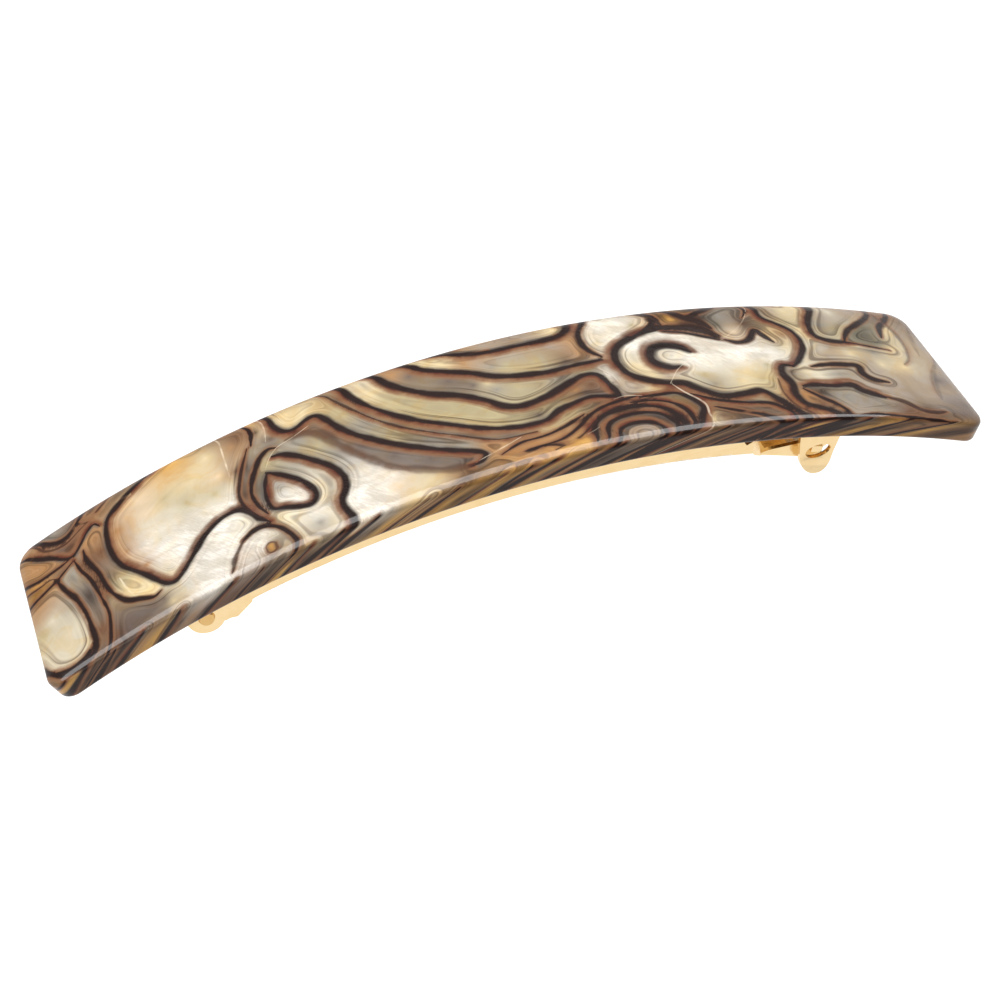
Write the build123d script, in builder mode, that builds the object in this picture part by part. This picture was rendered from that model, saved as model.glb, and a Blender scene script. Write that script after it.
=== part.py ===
"""Barrette: an arched acetate plate with a stamped French clip fixed to its back.

Frame: X along the barrette, Y across it, Z up through the crown of the plate. The origin is
under the crown, level with the lowest points of the pinch wings. The plate and the clip are
bent round one axis, so a place on them is given as an arc length `s` along the plate's outer
face, measured from the crown, and a depth below that face.
"""

import os
from math import cos, degrees, sin

from build123d import *

os.makedirs("parts", exist_ok=True)

# ---- Driving dimensions, millimetres ----

# Plate
plate_length = 100.0  # along the outer face
plate_width = 20.8
plate_thickness = 2.5
bend_radius = 110.7  # of the outer face
plate_corner = 2.2
top_edge_round = 0.75
back_edge_round = 0.35

# Sheet metal
base_sheet = 0.55
arm_sheet = 0.5
bar_sheet = 0.4

# Clip base: a strip with hinge ears at the low s end and pinch wings at the high one
clip_width = 9.2  # over the ears and the wings
base_start = -40.3
base_end = 40.6
base_corner = 3.0
waist_width = 7.2
waist_start = -27.5
waist_end = 28.5
through = 100.0  # a cut's length where it passes right through a piece
seat_gap = 0.02  # between the plate's back and the strip, and under the rivets' heads

# Hinge
pin_s = -34.95
pin_depth = 7.65
pin_radius = 0.7
pin_head_radius = 0.85
pin_head_height = 0.3
pin_head_taper = 25.0
arm_on_pin_clearance = 0.05
bar_on_pin_clearance = 0.06
ear_radius = 1.9
ear_root_start = -37.4
ear_root_end = -30.6

# Pinch wings
lobe_s = 35.15
lobe_depth = 8.85
lobe_radius = 1.8
wing_root_start = 31.8
wing_root_end = 37.7
flare_start_depth = 7.9
flare_radius = 6.0
flare_angle = 20.0
flare_tail = 2.5  # straight, past the bend
wing_blank_half = 4.0  # half the length of the sheet that a wing is cut from
window_s = 35.25
window_depth = 8.25
window_half_length = 1.4
window_half_height = 0.75

# Clasp arm: a channel whose open side faces the base
arm_width = 9.0
arm_narrow_width = 7.0  # between the ears, and at the neck
fold_radius = 0.4  # where the web turns into the flanges
arm_lug_radius = 2.0
flange_top_depth = 5.8
web_depth = 8.6  # of the web's outer face along the body
hinge_web_depth = 10.1  # where the web ends, just inside the ears
web_start = -33.6
jog_start = -32.6
jog_lead = 0.3  # the web's own step starts this far after the flanges'
body_start = -29.9
body_end = 27.5
notch_depth = 7.3
notch_low_s = 25.0
notch_bottom_s = 26.4
notch_high_s = 27.8
notch_high_depth = 6.4
neck_start = 28.9
neck_shoulder = 0.2  # height of the flange where the neck starts
neck_web_depth = 9.35
neck_flange_start = 29.9
catch_start = 34.4
neck_end = 36.4
neck_end_depth = 9.85
neck_flange_depth = 8.8  # of the flange's top edge where the neck starts
catch_flange_depth = 7.85  # and beside the catch tabs
tongue_end = 39.6
tongue_end_depth = 8.75
tongue_width = 4.4
tab_reach = 4.35  # from the middle plane to a catch tab's end
tab_length = 1.2
tab_height = 0.7

# Tension bar
bar_width = 4.6
bar_tip_width = 3.2
bar_middle_s = -1.0
bar_middle_depth = 5.9
bar_end_s = 32.0
bar_end_gap = 0.15
bar_taper_length = 4.0
bar_tip_overrun = 1.0

# Rivets
rivet_stations = (-38.3, 38.6)
rivet_radius = 0.75
rivet_head_radius = 1.25
rivet_head_height = 0.45
rivet_head_taper = 25.0
rivet_hole_clearance = 0.05  # in the strip; the plate's holes are a tight fit
rivet_grip = 1.4  # length inside the plate

# ---- Places worked out from them ----

base_top_depth = plate_thickness + seat_gap
base_middle_depth = base_top_depth + base_sheet / 2
base_back_depth = base_top_depth + base_sheet
lobe_angle = lobe_s / bend_radius
bend_axis_z = lobe_radius - (bend_radius - lobe_depth) * cos(lobe_angle)
bend_axis = Axis((0, 0, bend_axis_z), (0, 1, 0))


def at(s, depth):
    """The (X, Z) point at arc length s and a depth below the plate's outer face."""
    radius = bend_radius - depth
    return (radius * sin(s / bend_radius), bend_axis_z + radius * cos(s / bend_radius))


def across(s):
    """The plane square to the arc at s: its X is +Y, its Y points outwards from the bend axis."""
    angle = s / bend_radius
    return Plane((0, 0, bend_axis_z), x_dir=(0, 1, 0), z_dir=(cos(angle), 0, -sin(angle)))


def facing_out(s, depth):
    """A plane at (s, depth) whose normal points outwards from the bend axis."""
    x, z = at(s, depth)
    angle = s / bend_radius
    return Plane((x, 0, z), x_dir=(cos(angle), 0, -sin(angle)), z_dir=(sin(angle), 0, cos(angle)))


def bent_line(s_from, s_to, depth):
    """An arc round the bend axis, at one depth."""
    return ThreePointArc(at(s_from, depth), at((s_from + s_to) / 2, depth), at(s_to, depth))


def root_outline(s_from, s_to):
    """The side view of where an ear or a wing grows out of the base strip's lower half."""
    bent_line(s_from, s_to, base_middle_depth)
    Line(at(s_to, base_middle_depth), at(s_to, base_back_depth))
    bent_line(s_to, s_from, base_back_depth)
    Line(at(s_from, base_back_depth), at(s_from, base_middle_depth))


pin_x, pin_z = at(pin_s, pin_depth)


# ---- Plate: a flat blank of acetate bent to an arc, with tumbled edges ----

with BuildPart() as plate:
    with BuildSketch(across(-plate_length / 2)):
        with Locations((0, bend_radius - plate_thickness / 2)):
            Rectangle(plate_width, plate_thickness)
    revolve(axis=bend_axis, revolution_arc=degrees(plate_length / bend_radius))
    corner_edges = plate.edges().filter_by(lambda edge: abs(edge.length - plate_thickness) < 0.01)
    fillet(corner_edges, radius=plate_corner)
    outer_face = plate.faces().filter_by(GeomType.CYLINDER).sort_by(SortBy.AREA)[-1]
    fillet(outer_face.edges(), radius=top_edge_round)
    back_face = plate.faces().filter_by(GeomType.CYLINDER).sort_by(SortBy.AREA)[-1]
    fillet(back_face.edges(), radius=back_edge_round)
    for s in rivet_stations:
        with BuildSketch(facing_out(s, plate_thickness)):
            Circle(rivet_radius)
        extrude(amount=rivet_grip, mode=Mode.SUBTRACT)

plate.part.label = "plate"
export_step(plate.part, "parts/plate.step")


# ---- Clip base: one stamping, a bent strip with two ears and two pinch wings turned down ----

ear_inside = clip_width / 2 - base_sheet
flare_start = (clip_width / 2 - base_sheet / 2, bend_radius - flare_start_depth)
wing_top = (flare_start[0], bend_radius - base_middle_depth)

with BuildPart() as wings:
    # The bent sheet seen along the barrette: straight down, then flared outwards.
    with BuildSketch(across(lobe_s)):
        with BuildLine():
            Line(wing_top, flare_start)
            bend = JernArc(flare_start, (0, -1), flare_radius, flare_angle)
            Line(bend @ 1, bend @ 1 + (bend % 1) * flare_tail)
        trace(line_width=base_sheet)
    extrude(amount=wing_blank_half, both=True)
    mirror(about=Plane.XZ)
    # Its outline seen from the side: a round lobe hanging from a wider root.
    with BuildSketch(Plane.XZ):
        with Locations(at(lobe_s, lobe_depth)):
            Circle(lobe_radius)
        with BuildLine():
            root_outline(wing_root_start, wing_root_end)
        make_face()
        make_hull()
    extrude(amount=clip_width, both=True, mode=Mode.INTERSECT)
    with BuildSketch(Plane.XZ):
        with Locations(at(window_s, window_depth)):
            Ellipse(window_half_length, window_half_height)
    extrude(amount=clip_width, both=True, mode=Mode.SUBTRACT)

with BuildPart() as ears:
    with BuildSketch(Plane.XZ.offset(ear_inside)):
        with Locations((pin_x, pin_z)):
            Circle(ear_radius)
        with BuildLine():
            root_outline(ear_root_start, ear_root_end)
        make_face()
        make_hull()
        with Locations((pin_x, pin_z)):
            Circle(pin_radius, mode=Mode.SUBTRACT)
    extrude(amount=base_sheet)
    mirror(about=Plane.XZ)

with BuildPart() as clip_base:
    with BuildSketch(across(base_start)):
        with Locations((0, bend_radius - base_middle_depth)):
            Rectangle(clip_width, base_sheet)
    revolve(axis=bend_axis, revolution_arc=degrees((base_end - base_start) / bend_radius))
    corner_edges = clip_base.edges().filter_by(lambda edge: abs(edge.length - base_sheet) < 0.01)
    fillet(corner_edges, radius=base_corner)
    with BuildSketch(Plane.XY):
        waist_from = at(waist_start, base_back_depth)[0]
        waist_to = at(waist_end, base_back_depth)[0]
        for side in (-1, 1):
            with Locations(((waist_from + waist_to) / 2, side * (waist_width + clip_width) / 2)):
                RectangleRounded(waist_to - waist_from, clip_width, (clip_width - waist_width) / 2)
    extrude(amount=through, mode=Mode.SUBTRACT)
    add(ears.part)
    add(wings.part)
    for s in rivet_stations:
        with BuildSketch(facing_out(s, base_back_depth + base_sheet)):
            Circle(rivet_radius + rivet_hole_clearance)
        extrude(amount=3 * base_sheet, mode=Mode.SUBTRACT)

clip_base.part.label = "clip_base"
export_step(clip_base.part, "parts/clip_base.step")


# ---- Clasp arm: a channel with lugs at the hinge, a wide body, a neck, catch tabs and a tongue ----


def arm_side_view(inset):
    """The web's outer face, or with an inset of the sheet its inner face, from hinge to neck."""
    Polyline(
        at(web_start, hinge_web_depth - inset),
        at(jog_start + jog_lead, hinge_web_depth - inset),
        at(body_start, web_depth - inset),
    )
    bent_line(body_start, body_end, web_depth - inset)
    Polyline(
        at(body_end, web_depth - inset),
        at(neck_start, neck_web_depth - inset),
        at(neck_end, neck_end_depth - inset),
    )


def arm_plan_view(inset, overrun):
    """The arm seen square to the plate, narrow at both ends, run past them by an overrun."""
    narrow = arm_narrow_width / 2 - inset
    wide = arm_width / 2 - inset
    edge = [
        (at(pin_s - arm_lug_radius - overrun, web_depth)[0], narrow),
        (at(jog_start, web_depth)[0], narrow),
        (at(body_start, web_depth)[0], wide),
        (at(body_end, web_depth)[0], wide),
        (at(neck_start, web_depth)[0], narrow),
        (at(neck_end + overrun, web_depth)[0], narrow),
    ]
    Polygon(*edge, *[(x, -y) for x, y in reversed(edge)], align=None)


clear_start = pin_s - 2 * arm_lug_radius
clear_end = neck_end + neck_end - catch_start + 1
clear_depth = hinge_web_depth + arm_lug_radius
channel_overrun = 2.0  # the channel is open at both ends
trim_overrun = 0.1

with BuildPart() as arm_channel:
    # What is cut away between the flanges, and between the lugs below the web's end.
    with BuildSketch(Plane.XZ):
        with BuildLine():
            arm_side_view(arm_sheet)
            Polyline(
                at(neck_end, neck_end_depth - arm_sheet),
                at(clear_end, neck_end_depth - arm_sheet),
                at(clear_end, 0),
            )
            bent_line(clear_end, clear_start, 0)
            Polyline(
                at(clear_start, 0),
                at(clear_start, clear_depth),
                at(web_start, clear_depth),
                at(web_start, hinge_web_depth - arm_sheet),
            )
        make_face()
    extrude(amount=arm_width, both=True)
    with BuildSketch(Plane.XY):
        arm_plan_view(arm_sheet, channel_overrun)
    extrude(amount=through, both=True, mode=Mode.INTERSECT)

tongue_root_depth = neck_end_depth - 0.1  # a little inside the web
tongue_blank_end = tongue_end + 0.5

with BuildPart() as tongue:
    with BuildSketch(Plane.XZ):
        Polygon(
            at(catch_start, tongue_root_depth),
            at(catch_start, tongue_root_depth - arm_sheet),
            at(neck_end, neck_end_depth - arm_sheet),
            at(tongue_blank_end, tongue_end_depth - arm_sheet),
            at(tongue_blank_end, tongue_end_depth),
            at(neck_end, neck_end_depth),
            align=None,
        )
    extrude(amount=arm_width, both=True)
    with BuildSketch(Plane.XY):
        tongue_radius = tongue_width / 2
        tip_centre_x = at(tongue_end, neck_end_depth)[0] - tongue_radius
        root_x = at(catch_start, neck_end_depth)[0]
        with Locations((tip_centre_x, 0)):
            Circle(tongue_radius)
        with Locations(((root_x + tip_centre_x) / 2, 0)):
            Rectangle(tip_centre_x - root_x, tongue_width)
    extrude(amount=through, both=True, mode=Mode.INTERSECT)

with BuildPart() as clasp_arm:
    with BuildSketch(Plane.XZ):
        with BuildLine():
            arm_side_view(0)
            Polyline(
                at(neck_end, neck_end_depth),
                at(neck_end, catch_flange_depth),
                at(catch_start, catch_flange_depth),
                at(neck_flange_start, neck_flange_depth),
                at(neck_start, neck_web_depth - neck_shoulder),
                at(notch_high_s, notch_high_depth),
                at(notch_bottom_s, notch_depth),
                at(notch_low_s, flange_top_depth),
            )
            bent_line(notch_low_s, pin_s, flange_top_depth)
            Polyline(
                at(pin_s, flange_top_depth),
                (pin_x, pin_z - arm_lug_radius),
                at(web_start, hinge_web_depth),
            )
        make_face()
        with Locations((pin_x, pin_z)):
            Circle(arm_lug_radius)
    extrude(amount=arm_width, both=True)
    with BuildSketch(Plane.XY):
        arm_plan_view(0, trim_overrun)
    extrude(amount=through, both=True, mode=Mode.INTERSECT)
    down_faces = clasp_arm.faces().filter_by(lambda face: face.normal_at().Z < -0.5)
    body_web = down_faces.sort_by(SortBy.AREA)[-1]
    fillet(body_web.edges().sort_by(SortBy.LENGTH)[-2:], radius=fold_radius)
    with BuildSketch(Plane.XZ):
        with Locations(Location(at(window_s, window_depth), -degrees(window_s / bend_radius))):
            Rectangle(tab_length, tab_height)
    extrude(amount=tab_reach, both=True)
    add(arm_channel.part, mode=Mode.SUBTRACT)
    add(tongue.part)
    with BuildSketch(Plane.XZ):
        with Locations((pin_x, pin_z)):
            Circle(pin_radius + arm_on_pin_clearance)
    extrude(amount=arm_width, both=True, mode=Mode.SUBTRACT)

clasp_arm.part.label = "clasp_arm"
export_step(clasp_arm.part, "parts/clasp_arm.step")


# ---- Tension bar: a bowed spring strip, curled round the pin at one end and free at the other ----

curl_inner_radius = pin_radius + bar_on_pin_clearance
curl_middle_radius = curl_inner_radius + bar_sheet / 2
bar_from = at(pin_s, pin_depth - curl_middle_radius)
bar_to = at(bar_end_s, base_back_depth + bar_end_gap + bar_sheet / 2)

with BuildPart() as tension_bar:
    with BuildSketch(Plane.XZ):
        with BuildLine():
            ThreePointArc(bar_from, at(bar_middle_s, bar_middle_depth), bar_to)
        trace(line_width=bar_sheet)
    with BuildSketch(Plane.XZ):
        with Locations((pin_x, pin_z)):
            Circle(curl_inner_radius + bar_sheet)
            Circle(curl_inner_radius, mode=Mode.SUBTRACT)
    extrude(amount=bar_width / 2, both=True)
    with BuildSketch(Plane.XY):
        tip_x = bar_to[0]
        curl_clear_x = pin_x - 2 * curl_middle_radius
        Polygon(
            (curl_clear_x, bar_width / 2),
            (tip_x - bar_taper_length, bar_width / 2),
            (tip_x + bar_tip_overrun, bar_tip_width / 2),
            (tip_x + bar_tip_overrun, -bar_tip_width / 2),
            (tip_x - bar_taper_length, -bar_width / 2),
            (curl_clear_x, -bar_width / 2),
            align=None,
        )
    extrude(amount=through, both=True, mode=Mode.INTERSECT)

tension_bar.part.label = "tension_bar"
export_step(tension_bar.part, "parts/tension_bar.step")


# ---- Hinge pin: a wire through both ears, headed outside each ----

with BuildPart() as hinge_pin:
    with BuildSketch(Plane.XZ):
        with Locations((pin_x, pin_z)):
            Circle(pin_radius)
    extrude(amount=clip_width / 2, both=True)
    with BuildSketch(Plane.XZ.offset(clip_width / 2)):
        with Locations((pin_x, pin_z)):
            Circle(pin_head_radius)
    extrude(amount=pin_head_height, taper=pin_head_taper)
    mirror(about=Plane.XZ)

hinge_pin.part.label = "hinge_pin"
export_step(hinge_pin.part, "parts/hinge_pin.step")


# ---- Rivets: two alike, driven through the strip's ends into the plate ----

with BuildPart() as rivets:
    for s in rivet_stations:
        with BuildSketch(facing_out(s, base_back_depth + seat_gap)):
            Circle(rivet_radius)
        extrude(amount=base_sheet + 2 * seat_gap + rivet_grip)
        with BuildSketch(facing_out(s, base_back_depth + seat_gap)):
            Circle(rivet_head_radius)
        extrude(amount=-rivet_head_height, taper=rivet_head_taper)

rivets.part.label = "rivets"
export_step(rivets.part, "parts/rivets.step")
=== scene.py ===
"""Barrette: the looks of an arched acetate plate and the gold-plated French clip under it.

Everything is in metres in the part's own frame: X along the barrette, Y across it, Z up through
the crown of the plate. The plate's pattern is drawn in millimetres on the plate laid flat: s runs
along it and y across it, both from its middle.
"""

import math

import bpy
import numpy as np
from mathutils import Matrix, Vector

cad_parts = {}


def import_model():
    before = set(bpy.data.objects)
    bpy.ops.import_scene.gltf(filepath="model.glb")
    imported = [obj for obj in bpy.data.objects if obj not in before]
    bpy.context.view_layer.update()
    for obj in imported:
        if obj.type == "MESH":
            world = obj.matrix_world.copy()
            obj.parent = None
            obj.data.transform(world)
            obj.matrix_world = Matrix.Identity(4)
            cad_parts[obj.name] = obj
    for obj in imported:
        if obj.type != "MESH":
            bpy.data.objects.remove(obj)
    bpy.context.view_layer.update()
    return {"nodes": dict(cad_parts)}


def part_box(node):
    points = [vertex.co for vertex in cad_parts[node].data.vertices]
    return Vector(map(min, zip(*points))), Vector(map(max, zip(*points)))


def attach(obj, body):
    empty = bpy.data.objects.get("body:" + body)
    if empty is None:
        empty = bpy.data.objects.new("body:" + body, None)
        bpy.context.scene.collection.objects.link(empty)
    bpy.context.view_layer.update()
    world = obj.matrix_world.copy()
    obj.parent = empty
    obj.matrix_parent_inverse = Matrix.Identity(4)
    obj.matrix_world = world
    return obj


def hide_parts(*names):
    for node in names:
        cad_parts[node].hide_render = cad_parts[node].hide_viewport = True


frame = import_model()
nodes = frame["nodes"]

MM = 0.001

# ---- The plate's shape, millimetres ----

plate_low, plate_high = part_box("plate")
half_width = (plate_high.y - plate_low.y) / 2 / MM
crown_height = plate_high.z / MM
half_length = 50.0  # along the outer face
bend_radius = 110.7  # of the outer face
thickness = 2.5
corner_radius = 2.2
roll_width = 1.6  # the polished face starts to roll off this far from its edge
roll_tilt = math.radians(16)  # and is this steep where the tight round begins
roll_share = 0.8  # of the roll's width that is gentle
back_round = 0.35
grid_step = 0.18
wall_rows = 20
layer_slant = 2.8  # the layers lean this far along s for each millimetre of depth

# ---- The pattern ----

# Dark veins: half width, ink (1 is black), the side that glows brown (1 left, -1 right of the way
# that the points run, 0 both), and the points that the vein passes through.
VEINS = (
    # low s end
    (0.30, 1.0, 0, ((-47.3, 10.3), (-46.3, 8.9), (-45.3, 8.1), (-44.2, 7.9), (-43.2, 8.4), (-41.5, 10.2))),
    (0.12, 0.7, 0, ((-47.8, 10.0), (-46.5, 7.9), (-44.4, 7.1), (-42.5, 7.8), (-40.6, 8.7), (-38.3, 10.3))),
    (0.22, 1.0, 1, ((-49.4, 9.2), (-47.4, 7.4), (-46, 6.3), (-44.9, 5.2), (-43.9, 4.8), (-43, 5.5),
                    (-41.8, 6.9), (-40.9, 7.4), (-40.4, 6.7))),
    (0.16, 1.0, 0, ((-50, 5.5), (-48.6, 4.5), (-46.8, 4.4), (-45.2, 4.5), (-43.9, 4.8))),
    (0.09, 0.8, 0, ((-50, 3.9), (-48.4, 3.5), (-46.9, 3.6), (-46, 3.1))),
    (0.20, 1.0, 0, ((-50, 1.7), (-48.9, 2), (-47.6, 2.4), (-46, 3), (-44.9, 3.6), (-43.9, 4.2))),
    (0.30, 1.0, 0, ((-46.2, 2.9), (-45.6, 1), (-44.7, -1.2), (-44.1, -4), (-43.9, -7), (-44, -8.8),
                    (-44.9, -9.8), (-46.6, -10), (-48.2, -9.5), (-49.3, -8), (-49.9, -6))),
    (0.18, 1.0, 0, ((-43.9, 4.2), (-43.5, 2.3), (-42.7, 0), (-42.2, -3), (-41.9, -6), (-42.6, -10))),
    (0.26, 1.0, 0, ((-42.7, 4.7), (-42.6, 3), (-41.8, 0.4), (-41.4, -2), (-40.8, -3.8), (-39.8, -5.4),
                    (-38.4, -6.3), (-37.2, -7), (-36.4, -6.7))),
    (0.45, 1.0, 0, ((-48.9, -8.7), (-47.4, -9.5), (-45.6, -9.5), (-44.4, -8.5))),
    # the big cream cell
    (0.30, 1.0, 1, ((-34.3, 10.1), (-36.2, 9.1), (-38.2, 7.9), (-39.5, 6.8), (-40, 4.5), (-39.95, 1.8),
                    (-39.2, -0.7), (-37.6, -3.1), (-36.1, -5.6), (-35.1, -6.5), (-34.1, -6.2), (-32.4, -4.5),
                    (-30.7, -2.7), (-28.8, -1.6), (-27, -1.5), (-26, -2.6), (-25.2, -4), (-24.4, -5.1))),
    (0.20, 0.9, 0, ((-24, 6.4), (-25.2, 3.8), (-26.1, 1.2), (-26.3, -0.4), (-26, -1.9), (-25.2, -3.6))),
    (0.30, 0.7, 0, ((-29.3, -9.3), (-28.6, -7.6), (-27.4, -5.9))),
    (0.28, 1.0, 0, ((-27.4, -5.9), (-26.2, -5.3), (-25.2, -5.3), (-24.1, -6), (-23.3, -7.2), (-22.7, -8.8),
                    (-22.6, -10.2))),
    (0.15, 0.55, 0, ((-25.7, -8.3), (-25.2, -7.8), (-24.6, -8.2), (-24.6, -9), (-25.2, -9.3), (-25.7, -8.8),
                    (-25.7, -8.3))),
    # round the first eye
    (0.20, 1.0, 0, ((-23.3, 10), (-23.1, 8.4), (-23.5, 6.6))),
    (0.30, 1.0, 0, ((-24.3, -3.9), (-24.9, -2.2), (-25.1, -0.2), (-24.6, 1.6), (-23.9, 3), (-23.1, 4.3),
                    (-22.1, 5), (-21.3, 4.7))),
    (0.28, 1.0, -1, ((-23, 1.8), (-21.9, 0.7), (-20.6, -0.8), (-19.6, -2.6), (-19.3, -4.2), (-20, -5.2),
                     (-21, -5), (-22.4, -4.2), (-23.6, -3.6), (-23.9, -2), (-23.7, -0.2), (-23, 1.8))),
    (0.34, 1.0, -1, ((-21.9, 3.7), (-20.9, 3.4), (-19.4, 2), (-18.2, 0.5), (-17, -1.2), (-16.3, -3.2),
                     (-16.5, -4.9), (-17.3, -6.4), (-17.3, -7.8), (-16.7, -10))),
    (0.55, 0.5, 0, ((-20, 5.2), (-18.4, 5.2), (-17, 4.2), (-15.9, 2.2), (-14.6, -0.3), (-13, -2.8),
                    (-11.4, -4.8), (-9, -6.5), (-6.8, -7.7), (-4.6, -8.1))),
    # the long flow lines
    (0.36, 1.0, -1, ((-21, 10), (-20.8, 8.2), (-20.1, 6.8), (-19, 6.3), (-17.4, 7), (-16.4, 6.9),
                    (-15.6, 5.6), (-14.8, 3.8), (-13.4, 1.7), (-11.4, -0.6), (-8.8, -2.9), (-6, -4.9),
                    (-4, -6.1), (-3, -7), (-3.6, -7.9), (-4.6, -8.2))),
    (0.14, 0.8, -1, ((-15.1, 10), (-14.3, 8.2), (-13, 5.9), (-11.4, 3.3), (-9.4, 0.8), (-7, -1.4),
                    (-4.4, -3.4), (-2.4, -4.9), (-0.6, -5.7), (2.5, -5.9))),
    (0.34, 1.0, -1, ((-13.1, 10), (-12.8, 8.4), (-11.8, 6.2), (-10, 3.6), (-7.6, 0.9), (-4.8, -1.3),
                     (-2, -3.3), (0, -4.2), (2, -4.6), (4, -4.5), (5.6, -3.5), (7.4, -2.9), (9, -2.5),
                     (10.4, -2.8), (12, -3.4))),
    (0.40, 1.0, -1, ((-9.5, 10), (-9, 8.4), (-7.6, 6.4), (-5.2, 4.2), (-2.6, 2.6), (-0.6, 0.9), (1, -0.9),
                     (2.6, -1.5), (5, -1), (7.4, 0.1), (9.4, 1), (10.8, 0.9), (11.5, -0.4), (12, -3.2))),
    (0.42, 1.0, -1, ((-6.1, 10), (-5.1, 8.4), (-3, 7), (-0.8, 5.7), (1.4, 4.1), (3.8, 3.2), (6.4, 2.8),
                     (9, 2.9), (12.2, 3))),
    (0.38, 1.0, -1, ((-2.4, 10), (-0.6, 8.9), (2, 8.2), (5.6, 8), (8.8, 8.1), (10.3, 8.8), (11.2, 10))),
    (0.20, 1.0, 0, ((-1.6, -7.8), (0.6, -6.9), (3, -6.8), (5.2, -6.2), (7.6, -5))),
    (0.22, 1.0, 0, ((-0.4, -8.6), (2, -8.2), (4.4, -7.9), (6.4, -6.8), (8, -5.4), (9.6, -4.5), (11.6, -4),
                    (13.4, -3.7))),
    (0.12, 0.8, 0, ((3.4, -9.2), (5.6, -8.5), (7.2, -7.4), (8.4, -6.2))),
    # the mound of arcs by the near edge
    (0.40, 1.0, 1, ((7.6, -9.4), (8, -7), (9.2, -5.9), (11, -5.3), (13, -5.3), (15, -6), (16.1, -7.4),
                    (16.9, -10.2))),
    (0.26, 1.0, 1, ((8.7, -9.6), (9.3, -7.4), (11, -6.5), (13, -6.4), (14.6, -7), (15.6, -8.4), (16, -10.2))),
    (0.24, 1.0, 1, ((10, -10), (10, -8.6), (11.2, -7.9), (12.8, -7.9), (13.9, -8.6), (14.8, -10.2))),
    (0.24, 1.0, 1, ((12.6, -4.6), (14.6, -4.8), (16.4, -5.6), (17.4, -7), (17.6, -8.8), (17.4, -10.2))),
    (0.32, 1.0, 1, ((13.8, -4), (15.6, -4.1), (17.4, -4.2), (18.6, -5.4), (19.2, -7), (18.5, -8.6),
                    (18.2, -10.2))),
    # the pearl cell and the second eye
    (0.34, 1.0, 0, ((12.9, 10), (11.8, 8.6), (11.3, 7), (11.5, 5), (12.4, 3.6))),
    (0.26, 1.0, 0, ((16.4, 5.9), (17.8, 6.6), (19.2, 7.6), (19.9, 9), (19.7, 10.2))),
    (0.42, 1.0, -1, ((19.4, 6.6), (17.8, 6.4), (15.8, 5.6), (14.2, 4.3), (13.6, 2.4), (14, 0.2), (15.4, -1.4),
                     (17.2, -2.4), (18.8, -2.8), (20.2, -4.3), (22, -5.6), (24, -5.6), (26.2, -5.3),
                     (27.3, -6.8), (28.6, -9), (29.8, -10.2))),
    (0.52, 1.0, -1, ((21.4, 2.3), (20.6, 3.3), (19.2, 3.9), (17.8, 3.5), (17.2, 2), (17.6, 0.8), (18.6, 0),
                     (19.6, 0))),
    (0.24, 1.0, 0, ((20, 6.3), (22, 5.7), (24, 4.7), (25.4, 3.9))),
    (0.80, 0.95, 0, ((19.4, 7.0), (21.2, 6.8), (23, 6.4), (24.6, 5.5), (25.4, 4.7))),
    (0.60, 0.95, 0, ((21.8, 10.2), (22.9, 8.6), (24.4, 7.4), (25.2, 6.2))),
    (0.55, 0.9, 0, ((19, 10.2), (19.8, 9), (20.2, 7.6))),
    (0.34, 1.0, 0, ((23.6, 8.7), (25.4, 9.3), (27.2, 10.2))),
    (0.34, 1.0, 0, ((26, 3.8), (27.2, 3.2), (28.6, 3.8), (29.8, 5.3), (30.3, 4.4), (31, 3.1))),
    (0.20, 1.0, 0, ((30.3, 10), (30.2, 8.8), (29.4, 7.7))),
    # high s end
    (0.34, 1.0, -1, ((31.5, 10), (31.5, 7.8), (32.5, 6.7), (33.8, 5.3), (34.2, 3.4), (33.7, 1.6),
                     (32.5, -0.2), (31.4, -1.4))),
    (0.38, 1.0, -1, ((31.2, -1.3), (30.2, -1.2), (29.6, -2.6), (29.9, -4.4), (29.5, -6.4), (30, -8),
                     (31.6, -8.9),
                     (33.8, -10.2))),
    (0.14, 0.6, 0, ((28.7, -3.5), (28.3, -6), (28.9, -8.4), (30.8, -10.2))),
    (0.26, 1.0, 0, ((20.4, -7.2), (22, -8), (24.2, -9), (26.6, -10.2))),
    (0.34, 1.0, -1, ((38.4, 10), (37.4, 8.2), (36.5, 6.4), (36.2, 4.6), (36.9, 3.6), (38.4, 3.2), (40, 3.1))),
    (0.18, 1.0, 0, ((40, 3.1), (42, 2.6), (44.3, 2.1))),
    (0.30, 1.0, 0, ((45.5, 10), (44.4, 8.4), (42.6, 6.9), (40.9, 5.6), (39.9, 4.3), (39.4, 3.3))),
    (0.30, 1.0, 0, ((48.2, 10.2), (46.6, 8.2), (45.2, 6.6), (44.5, 4.6))),
    (0.42, 1.0, 0, ((33.4, -1.5), (35, -1.2), (37.4, -1.1), (38.8, -1.3), (38.7, -2.6), (39.4, -3.6),
                    (41, -4.1))),
    (0.50, 1.0, 1, ((31, -4.9), (32.4, -4.8), (34.4, -5), (36.4, -4.8), (37.2, -5.9), (39.2, -6.9))),
    (0.30, 1.0, 0, ((30.7, -5.4), (32, -6.9), (33.4, -8.4), (34.4, -10.2))),
    (0.22, 1.0, -1, ((18.9, -4.7), (21, -6.1), (23.6, -7), (26.2, -7.5), (27.6, -8.8), (28.6, -10.2))),
    (0.20, 0.4, 1, ((45, 10.2), (46, 8.2), (46.7, 5.6), (46.6, 3), (45.9, 0.8), (44.8, -0.4))),
    (0.34, 0.3, -1, ((50, 1.4), (48.2, -0.8), (46.8, -3.6), (46.2, -6.4))),
    (0.26, 0.25, 0, ((49.4, 7.6), (48.4, 4.8), (47.7, 1.6))),
    (0.24, 1.0, 0, ((35.2, -10.2), (37.6, -9.9), (41.4, -10.2))),
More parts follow.
